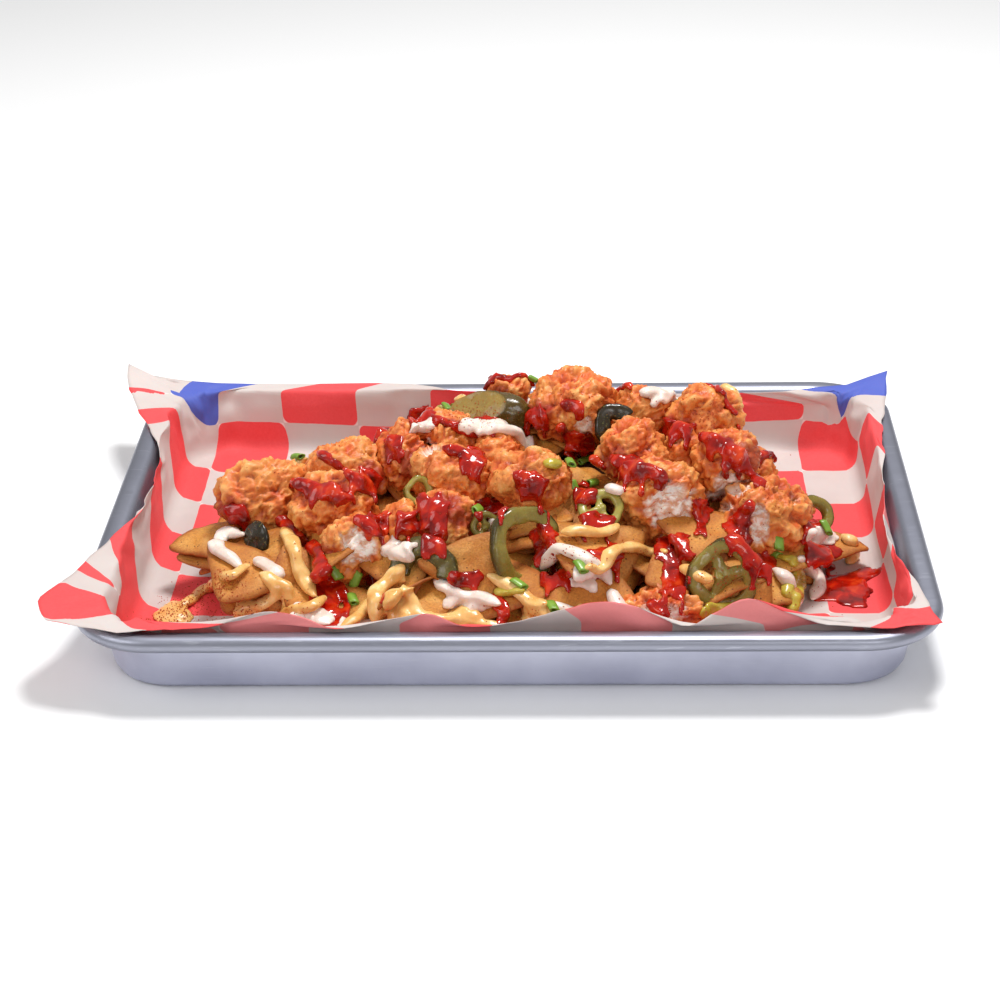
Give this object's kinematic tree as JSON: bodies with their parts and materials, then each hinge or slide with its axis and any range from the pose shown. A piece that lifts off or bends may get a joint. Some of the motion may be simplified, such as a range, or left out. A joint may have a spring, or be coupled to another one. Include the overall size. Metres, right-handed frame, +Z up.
{
  "type": "loaded nachos in a sheet pan",
  "caption": "Tortilla chips heaped in a paper-lined aluminium sheet pan, topped with fried chicken pieces, pickled pepper slices and sauces.",
  "frame": {"origin": "middle of the pan's flat underside", "axes": "+X along the pan's long side, +Y away from the near long side, +Z up"},
  "size_m": [0.3472, 0.2423, 0.0709],
  "materials": {
    "aluminium": "brushed satin",
    "checked_paper": "matt greaseproof paper printed with red checks",
    "tortilla_chip": "dry fried corn, speckled",
    "fried_chicken": "craggy fried crust",
    "pickled_pepper": "wet green pickled pepper"
  },
  "bodies": {
    "root": {"chicken_01": "fried_chicken", "chicken_02": "fried_chicken", "chicken_03": "fried_chicken", "chicken_04": "fried_chicken", "chicken_05": "fried_chicken", "chicken_06": "fried_chicken", "chicken_07": "fried_chicken", "chicken_08": "fried_chicken", "chicken_09": "fried_chicken", "chicken_10": "fried_chicken", "chicken_11": "fried_chicken", "chicken_12": "fried_chicken", "chicken_13": "fried_chicken", "chicken_14": "fried_chicken", "chicken_15": "fried_chicken", "chicken_16": "fried_chicken", "chicken_17": "fried_chicken", "chicken_18": "fried_chicken", "chicken_19": "fried_chicken", "chicken_20": "fried_chicken", "chicken_21": "fried_chicken", "chicken_22": "fried_chicken", "chicken_23": "fried_chicken", "chicken_24": "fried_chicken", "chicken_25": "fried_chicken", "chicken_26": "fried_chicken", "chicken_27": "fried_chicken", "chicken_28": "fried_chicken", "chicken_29": "fried_chicken", "chip_01": "tortilla_chip", "chip_02": "tortilla_chip", "chip_03": "tortilla_chip", "chip_heap": "tortilla_chip", "pan": "aluminium", "paper": "checked_paper", "pepper_slice_01": "pickled_pepper", "pepper_slice_02": "pickled_pepper", "pepper_slice_03": "pickled_pepper", "pepper_slice_04": "pickled_pepper", "pepper_slice_05": "pickled_pepper", "pepper_slice_06": "pickled_pepper", "pepper_slice_07": "pickled_pepper", "pepper_slice_08": "pickled_pepper", "pepper_slice_09": "pickled_pepper", "pepper_slice_10": "pickled_pepper", "pepper_slice_11": "pickled_pepper", "pepper_slice_12": "pickled_pepper", "pickle_01": "pickled_pepper"}
  },
  "joints": []
}
